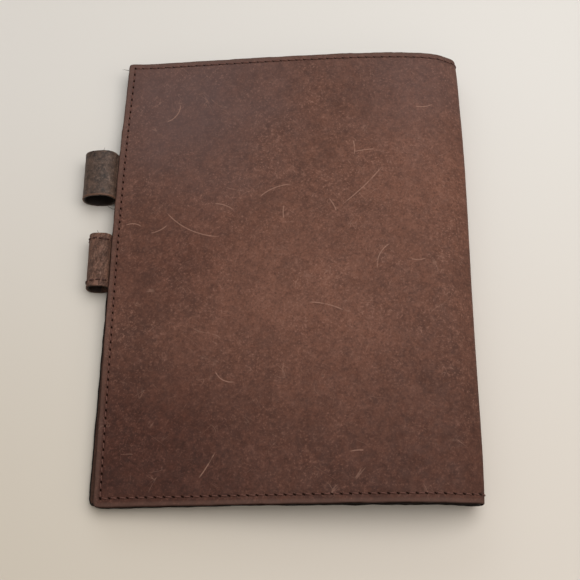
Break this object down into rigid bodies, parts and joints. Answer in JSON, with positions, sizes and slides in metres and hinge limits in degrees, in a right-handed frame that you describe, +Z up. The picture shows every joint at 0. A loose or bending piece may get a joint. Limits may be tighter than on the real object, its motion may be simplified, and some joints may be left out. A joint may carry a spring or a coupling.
{
  "type": "leather notebook cover",
  "caption": "Folding leather cover for a notebook, with inner sleeve pockets, a stitched edge and two pen loops on the fore edge.",
  "frame": {"origin": "under the middle of the closed cover's box, on the surface it lies on", "axes": "+X towards the spine, +Y towards the head of the cover, +Z up from the front panel to the back panel"},
  "size_m": [0.1836, 0.222, 0.0212],
  "materials": {
    "outer_leather": "matte oiled pull-up leather",
    "lining_leather": "matte thin leather",
    "pocket_leather": "matte oiled leather",
    "upper_loop_leather": "smooth matte leather",
    "lower_loop_leather": "wrinkled matte leather",
    "thread": "waxed thread"
  },
  "bodies": {
    "front_cover": {"outer_front_panel": "outer_leather", "lining_front_panel": "lining_leather", "front_sleeve_pocket": "pocket_leather", "seam_front_panel": "thread", "lower_pen_loop_outer_ply": "lower_loop_leather", "lower_pen_loop_inner_ply": "lower_loop_leather", "lower_pen_loop_seams": "thread"},
    "spine_strip_1": {"outer_spine_strip_1": "outer_leather", "lining_spine_strip_1": "lining_leather", "seam_spine_strip_1": "thread"},
    "spine_strip_2": {"outer_spine_strip_2": "outer_leather", "lining_spine_strip_2": "lining_leather", "seam_spine_strip_2": "thread"},
    "back_cover": {"outer_back_panel": "outer_leather", "lining_back_panel": "lining_leather", "back_sleeve_pocket": "pocket_leather", "seam_back_panel": "thread", "upper_pen_loop": "upper_loop_leather"}
  },
  "joints": [
    {"name": "spine_bend_1", "type": "hinge", "parent": "front_cover", "child": "spine_strip_1", "pos_m": [0.0863, 0, 0.0024], "axis": [0, 1, 0], "range_deg": [0, 69.24]},
    {"name": "spine_bend_2", "type": "hinge", "parent": "spine_strip_1", "child": "spine_strip_2", "pos_m": [0.08955, 0, 0.01133], "axis": [0, 1, 0], "range_deg": [0, 74.21]},
    {"name": "spine_bend_3", "type": "hinge", "parent": "spine_strip_2", "child": "back_cover", "pos_m": [0.0789, 0, 0.01878], "axis": [0, 1, 0], "range_deg": [0, 39.51]}
  ],
  "couplings": [
    {"joint": "spine_bend_2", "follows": "spine_bend_1", "ratio": 1.0714},
    {"joint": "spine_bend_3", "follows": "spine_bend_1", "ratio": 0.57035}
  ]
}
